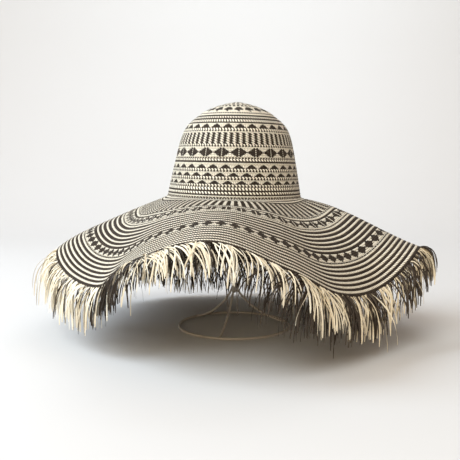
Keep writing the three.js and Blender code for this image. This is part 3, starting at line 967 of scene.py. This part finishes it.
def woven_straw(name, gap_shade_low, gap_shade_high):
    """Slanting oval stitches, one column wide and two rows tall, coloured by the chart, with painted shade."""
    f = Finish(name)
    u, v = f.uv("stitch")
    black, inside = f.attribute("black"), f.attribute("inside")
    row = v * 0.5
    x = u.fraction() * 2.0 - 1.0
    y = row.fraction() * 2.0 - 1.0
    x2, y2 = x * x, y * y
    hump = (1.0 - x2) * (1.0 - y2 * y2 * 0.8)
    which = f.vector(u.floor(), row.floor(), 0.0)
    tone = f.node("ShaderNodeTexWhiteNoise", {"noise_dimensions": "2D"}, {"Vector": which}, out="Value")
    fibre = f.noise(f.vector(u * 5.0, row * 1.2, 0.0), 1.0, 3.0, 0.6)
    place = f.node("ShaderNodeTexCoord", out="Object")
    patch = f.noise(place, 28.0, 2.0)
    age = (tone * 0.6 + fibre * 0.4 + (patch - 0.5) * 0.6).clamp()
    natural = f.mix(age * 0.34, STRAW_PALE, STRAW_TAN)
    dark = f.mix(age * 0.8, BLACK_STRAW, BROWN_STRAW)
    # Painted shade: natural stitches darken towards their edges, where the gaps between them would lie in shadow.
    free_of_gap_shade = hump.ramp(gap_shade_low, gap_shade_high)
    natural = f.mix((1.0 - free_of_gap_shade) * 0.92, natural, PAINTED_GAP_SHADE)
    colour = f.mix(black, natural, dark)
    # Painted shade over the whole inside face, which lies under the brim and inside the crown.
    colour = f.mix(inside * 0.35, colour, LINING_PAINTED_SHADE)
    height = hump * 0.8 + fibre * 0.25
    bump = f.node("ShaderNodeBump", None, {"Strength": 0.6, "Distance": 0.0006, "Height": height})
    roughness = 0.65 + (fibre - 0.5) * 0.3
    return f.done(Base_Color=colour, Roughness=roughness, Normal=bump, Specular_IOR_Level=0.2)


def straw_strip():
    """Dried flat straw: long fibres and a slight shine."""
    f = Finish("fringe_straw")
    across, along = f.uv("strand")
    black, tone = f.attribute("black"), f.attribute("tone")
    fibre = f.noise(f.vector(across * 7.0, along * 0.35, tone * 97.0), 1.0, 3.0, 0.6)
    blotch = f.noise(f.vector(across, along * 0.6, tone * 31.0), 1.2, 2.0)
    # tone carries painted shade on the right-hand pale strips besides their own colour.
    age = (tone * 0.75 + fibre * 0.3 + blotch * 0.3 - 0.12).clamp()
    natural = f.mix(age, STRAW_PALE, STRAW_TAN)
    dark = f.mix(age, BLACK_STRAW, BROWN_STRAW)
    colour = f.mix(black, natural, dark)
    bump = f.node("ShaderNodeBump", None, {"Strength": 0.4, "Distance": 0.0003, "Height": fibre})
    return f.done(Base_Color=colour, Roughness=0.5 + (fibre - 0.5) * 0.3, Normal=bump, Specular_IOR_Level=0.25)


def stand_wire():
    f = Finish("stand_wire")
    place = f.node("ShaderNodeTexCoord", out="Object")
    grain = f.noise(place, 900.0, 3.0, 0.6)
    dull = f.noise(place, 60.0, 2.0)
    colour = f.mix(dull * 0.5, WIRE_GREY, WIRE_DULL)
    bump = f.node("ShaderNodeBump", None, {"Strength": 0.2, "Distance": 0.0002, "Height": grain})
    return f.done(Base_Color=colour, Metallic=0.0, Roughness=0.32 + grain * 0.15, Normal=bump)


def floor_paint():
    f = Finish("floor")
    return f.done(Base_Color=FLOOR_PALE, Roughness=0.9, Specular_IOR_Level=0.1)


# Floor, light and camera


def studio():
    """A pale floor that turns up into a plain wall far behind."""
    across = (-3.2, 3.2)
    profile = [(-2.6, 0.0), (1.1, 0.0)]
    profile += [(1.1 + 0.9 * math.sin(a), 0.9 - 0.9 * math.cos(a)) for a in np.linspace(0.15, math.pi / 2, 10)]
    profile.append((2.0, 3.6))
    vertices = [(x, y, z) for y, z in profile for x in across]
    faces = [(2 * i, 2 * i + 1, 2 * i + 3, 2 * i + 2) for i in range(len(profile) - 1)]
    mesh = bpy.data.meshes.new("floor")
    mesh.from_pydata(vertices, [], faces)
    mesh.polygons.foreach_set("use_smooth", [True] * len(faces))
    mesh.materials.append(floor_paint())
    floor = bpy.data.objects.new("floor", mesh)
    bpy.context.scene.collection.objects.link(floor)


def lighting():
    """A warm glow from all round that looks pale itself, and the soft lights."""
    world = bpy.data.worlds.new("studio")
    bpy.context.scene.world = world
    world.use_nodes = True
    tree = world.node_tree
    back = tree.nodes["Background"]
    seen = tree.nodes.new("ShaderNodeLightPath")
    glow = tree.nodes.new("ShaderNodeMix")
    glow.data_type = "RGBA"
    glow.inputs[6].default_value = GLOW_WARM
    glow.inputs[7].default_value = GLOW_SEEN
    tree.links.new(seen.outputs["Is Camera Ray"], glow.inputs[0])
    tree.links.new(glow.outputs[2], back.inputs["Color"])
    back.inputs["Strength"].default_value = GLOW_STRENGTH

    for light in LIGHTS:
        soft_light(**light)


def soft_light(name, place, size, power, colour, aim):
    """A round soft light that looks at a point."""
    light = bpy.data.lights.new(name, "AREA")
    light.shape, light.size, light.energy, light.color = "DISK", size, power, colour
    lamp = bpy.data.objects.new(name, light)
    bpy.context.scene.collection.objects.link(lamp)
    lamp.location = place
    lamp.rotation_euler = (Vector(aim) - Vector(place)).to_track_quat("-Z", "Y").to_euler()


def camera():
    """As in the photo: about 0.95 m in front of the hat, a little above its brim, looking slightly down."""
    data = bpy.data.cameras.new("camera")
    data.lens, data.sensor_width = FOCAL_LENGTH_MM, 36.0
    data.clip_start, data.clip_end = 0.05, 20.0
    eye = bpy.data.objects.new("camera", data)
    bpy.context.scene.collection.objects.link(eye)
    eye.location = (STAND_AXIS.x + EYE_SHIFT, STAND_AXIS.y - EYE_BEFORE_STAND, EYE_HEIGHT)
    eye.rotation_euler = (math.radians(90 - LOOK_DOWN), 0, 0)
    bpy.context.scene.camera = eye


scene = bpy.context.scene
scene.view_settings.view_transform = "Standard"
scene.view_settings.look = "None"
scene.view_settings.exposure = 0.0
camera()
studio()
lighting()
brim_surface = brim_wall()
crown_weave(crown_wall(), woven_straw("crown_weave", 0.12, 0.72))
brim_weave(brim_surface, woven_straw("brim_weave", 0.2, 0.84))
fringe_strands(brim_surface, straw_strip())
wire_frame(stand_wire())
